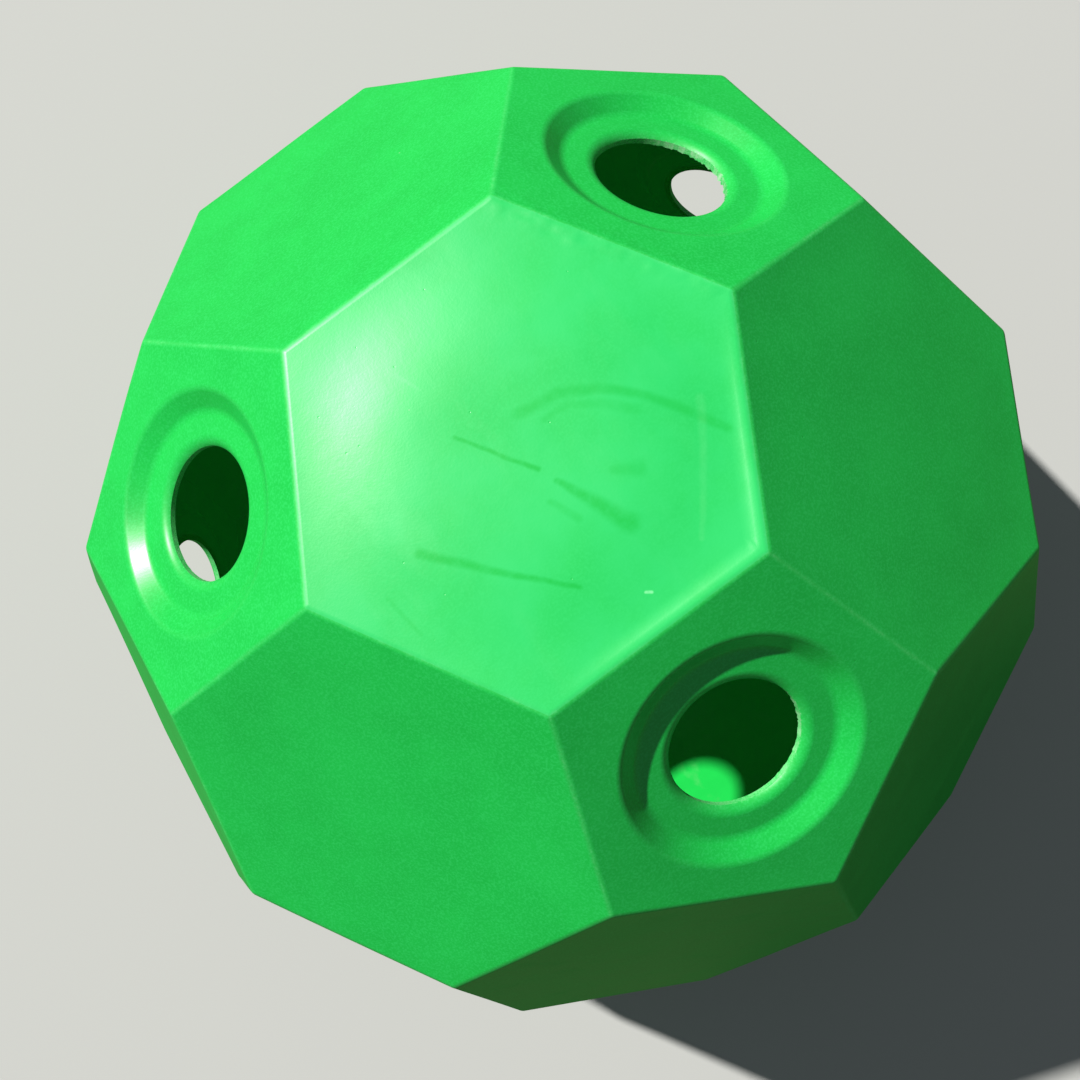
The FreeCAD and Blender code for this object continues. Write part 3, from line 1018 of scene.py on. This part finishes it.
# %% Outside of the ball
OUTSIDE_ROUGHNESS = 0.335
FOLD_DULLNESS = 0.15  # added to the roughness on the folds, which are finely scratched
GRAIN_DEPTH = 0.000018
SPECK_SPACING = 0.011
SPECK_RADIUS = 0.045  # in spacings
SPECK_SHARE = 0.12
TONE_ROUGHNESS = 0.03  # from the cloudy tone's least to its most
SMEAR_ROUGHNESS = 0.04
SPECKLE_RANGE = (0.42, 0.66)
TORN_RANGE = (0.5, 0.62)
SPECKLES_SHOW = 0.35  # how strongly the speckles tint the green, from 0 to 1
PINHOLES_SHOW = 0.45
SPECKS_SHOW = 0.35
WEAR = 0.27


def dust_specks(tree, place):
    """A mask of small pale specks: the middles of some random cells, in sizes that follow their numbers."""
    distance, number = cells(tree, place, SPECK_SPACING)
    radius = between(tree, number, 0.0, SPECK_SHARE, SPECK_RADIUS, SPECK_RADIUS / 3)
    near_middle = calculate(tree, "LESS_THAN", distance, radius)
    return times(tree, near_middle, calculate(tree, "LESS_THAN", number, SPECK_SHARE))


def outside_skin(name, add_marks=None):
    """The outside finish. add_marks, given tree, place, colour and roughness, may change the last two."""
    material, tree, shader, place = start_material(name)
    grain = use_group(tree, mould_grain, Place=place)
    tone = use_group(tree, cloudy_tone, Place=place)
    on_fold = attribute(tree, "worn")
    worn = use_group(tree, fold_wear, Place=place, Worn=on_fold, Amount=WEAR)["Mask"]
    colour = blend_colours(tree, tone["Tone"], GREEN_DEEP, GREEN)
    speckled = times(tree, between(tree, grain["Speckle"], *SPECKLE_RANGE), SPECKLES_SHOW)
    colour = blend_colours(tree, speckled, colour, GREEN_PALE)
    roughness = times(tree, tone["Tone"], TONE_ROUGHNESS, OUTSIDE_ROUGHNESS - TONE_ROUGHNESS / 2)
    roughness = times(tree, tone["Smears"], SMEAR_ROUGHNESS, roughness)
    if add_marks:
        colour, roughness = add_marks(tree, place, colour, roughness)
    colour = blend_colours(tree, worn, colour, GREEN_WORN)
    colour = blend_colours(tree, times(tree, grain["Pinholes"], PINHOLES_SHOW), colour, GREEN_RUBBED)
    colour = blend_colours(tree, times(tree, dust_specks(tree, place), SPECKS_SHOW), colour, DUST)
    torn = times(tree, attribute(tree, "sawn"), between(tree, grain["Speckle"], *TORN_RANGE))
    colour = blend_colours(tree, torn, colour, SAWN_WHITE)
    roughness = times(tree, on_fold, FOLD_DULLNESS, roughness)
    finish_shader(tree, shader, colour, roughness, grain["Height"], GRAIN_DEPTH)
    return material


green_skin = outside_skin("Green satin plastic")
print(green_skin.name, len(green_skin.node_tree.nodes), "nodes")

# %% [markdown]
# ### Marks on the top face
#
# The face that is up has been kicked and dragged. Most of its marks are places where the satin grain was
# pressed smooth, so they look darker and a little glossier: one long arc, a few short lines, and a wedge
# that widens. A few others are pale, where something rubbed off on it. Each mark is a list of points in
# millimetres over the face, with a width at its start and end, and every step between two points is one
# scuff group. Under the marks lies a painted sky sheen: a paler, bluer green in patches, which stands in
# for the sky's reflection on the face that looks up.

# %% The scuffed top face
# The sky sheen is painted light: a paler, bluer green in patches over the top face, standing in for the sky's
# reflection.
SKY_SHEEN_PATCH = 0.04
SKY_SHEEN_RANGE = (0.3, 0.7)
LEAST_SKY_SHEEN = 0.5
TOP_GLOSS = 0.015  # taken off the roughness of the whole face
PRESSED_GLOSS = 0.05  # taken off it in the dark marks
# points from X and Y in mm, width at the start and end in mm, strength
DARK_MARKS = [
    ([(6.5, 9.2), (21, 6.7), (32.6, 0.1), (42.1, -9.2), (51.8, -23.6), (58.5, -36.2)], 2.6, 2.0, 0.65),
    ([(12, 2.5), (22, 1.5), (31, -5.0), (38, -13.0)], 1.4, 2.4, 0.35),
    ([(-14.8, 15.4), (-6.7, 2.2), (1, -9.8)], 1.0, 1.1, 0.95),
    ([(3.4, -16.6), (8.3, -27.7), (13.9, -42)], 1.4, 4.2, 0.85),
    ([(-2.5, -21), (1.5, -31)], 1.4, 1.8, 0.40),
    ([(-46.9, -8.6), (-29.4, -29.6), (-11.3, -49)], 2.2, 1.1, 0.90),
    ([(27.3, -29.4), (20.0, -24.5)], 3.4, 1.8, 0.40),
    ([(-64, -14), (-62, -30)], 1.0, 1.0, 0.35),
]
PALE_MARKS = [
    ([(57.3, -22.7), (44, -42), (29.7, -59.8)], 1.8, 1.2, 0.09),
    ([(4.5, -62.9), (6.0, -64.0)], 0.6, 0.7, 1.0),
    ([(-18, 45), (-15, 36)], 1.2, 0.8, 0.15),
]


def all_scuffs(tree, place, marks):
    """The strongest of the marks at each place, one scuff group for each step of each mark."""
    strongest = 0.0
    for points, first_width, last_width, strength in marks:
        ends = [(x / 1000, y / 1000, 0) for x, y in points]
        widths = np.linspace(first_width, last_width, len(points)) / 1000
        for start, stop, width_from, width_to in zip(ends, ends[1:], widths, widths[1:]):
            mask = use_group(tree, scuff, Place=place, From=start, To=stop, Width_From=width_from,
                             Width_To=width_to, Strength=strength)["Mask"]
            strongest = calculate(tree, "MAXIMUM", strongest, mask)
    return strongest


def top_marks(tree, place, colour, roughness):
    """A painted sky sheen, paler and bluer, in patches over the face; pressed marks that are darker and
    smoother, and paler rubbed ones.
    """
    pressed = all_scuffs(tree, place, DARK_MARKS)
    rubbed = all_scuffs(tree, place, PALE_MARKS)
    patches = noise(tree, place, SKY_SHEEN_PATCH, detail=4.0, rough=0.6)
    sky_sheen = between(tree, patches, *SKY_SHEEN_RANGE, low_end=LEAST_SKY_SHEEN)
    colour = blend_colours(tree, sky_sheen, colour, GREEN_SKY_SHEEN)
    colour = blend_colours(tree, pressed, colour, GREEN_RUBBED)
    colour = blend_colours(tree, rubbed, colour, GREEN_WORN)
    glossier = calculate(tree, "SUBTRACT", roughness, TOP_GLOSS)
    return colour, times(tree, pressed, -PRESSED_GLOSS, glossier)


scuffed_skin = outside_skin("Green satin plastic, scuffed", add_marks=top_marks)
print(len(DARK_MARKS), "dark marks and", len(PALE_MARKS), "pale ones")

# %% [markdown]
# ### Sawn edge and inside
#
# A hole saw tears polyethylene more than it cuts it, so the edge is a pale, dull fur of fine threads. The
# inside set against air: hardly any grain, a soft ripple, and more gloss. A plain darker green would look
# right from afar, but a sun patch falls straight through a hole onto it, and there the ripple shows. The
# inside also glows faintly: painted light that stands in for the light soaking through the wall.

# %% Sawn edge and inside
SAWN_ROUGHNESS = 0.62
FIBRE_ROUGHNESS = 0.2  # from the deepest thread to the highest
PALE_RANGE = (0.35, 0.65)
WHITE_RANGE = (0.35, 0.6)
FIBRE = 0.0005
TEAR = FIBRE * 7
FIBRE_DEPTH = 0.00012
INSIDE_ROUGHNESS = 0.30
# painted light: a faint green glow emitted by the inside wall, standing in for the light that soaks through
# it
INSIDE_PAINTED_GLOW = (0.0004, 0.014, 0.0018, 1)  # the light that soaks through the wall from outside
RIPPLE_DEPTH = 0.00008
INSIDE_GRAIN = 0.25
INSIDE_SMEAR_ROUGHNESS = 0.08
DUST_FILM = 0.12


def sawn_finish():
    """Pale fibres: fine noise picks between green and a whitish tone, and stands up as a fur."""
    material, tree, shader, place = start_material("Sawn green plastic")
    fibres = noise(tree, place, FIBRE, detail=4.0, rough=0.7)
    torn = noise(tree, place, TEAR)
    colour = blend_colours(tree, between(tree, fibres, *PALE_RANGE), GREEN, SAWN_PALE)
    whitened = times(tree, between(tree, torn, *WHITE_RANGE), attribute(tree, "sawn"))
    colour = blend_colours(tree, whitened, colour, SAWN_WHITE)
    roughness = times(tree, fibres, FIBRE_ROUGHNESS, SAWN_ROUGHNESS - FIBRE_ROUGHNESS / 2)
    finish_shader(tree, shader, colour, roughness, fibres, FIBRE_DEPTH)
    return material


def inside_finish():
    """The outside's greens without grain, with the ripple of plastic that set against air, and a faint
    painted glow.
    """
    material, tree, shader, place = start_material("Green plastic, inside")
    grain = use_group(tree, mould_grain, Place=place, Grain=INSIDE_GRAIN, Ripple=1.0)
    tone = use_group(tree, cloudy_tone, Place=place)
    colour = blend_colours(tree, tone["Tone"], GREEN_DEEP, GREEN)
    colour = blend_colours(tree, times(tree, tone["Smears"], DUST_FILM), colour, DUST)
    roughness = times(tree, tone["Smears"], INSIDE_SMEAR_ROUGHNESS, INSIDE_ROUGHNESS)
    # painted light: the inside wall glows, though it is no lamp
    feed(tree, shader.inputs["Emission Color"], INSIDE_PAINTED_GLOW)
    feed(tree, shader.inputs["Emission Strength"], 1.0)
    finish_shader(tree, shader, colour, roughness, grain["Height"], RIPPLE_DEPTH)
    return material


sawn_edge = sawn_finish()
inside_skin = inside_finish()
for node, wall in walls.items():
    outside = scuffed_skin if node == "hexagon_wall_top" else green_skin
    for material in (outside, sawn_edge, inside_skin):
        wall.data.materials.append(material)
print("finishes on", len(walls), "walls")

# %% [markdown]
#
# The finer walls have to stay inside the space of the CAD walls, give or take the domes. The script prints
# how far the two boxes differ at most.

visual_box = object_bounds()
growth = np.abs(np.array(visual_box) - np.array(cad_box)).max()
print(f"the visual box differs from the CAD box by up to {growth * 1000:.2f} mm")
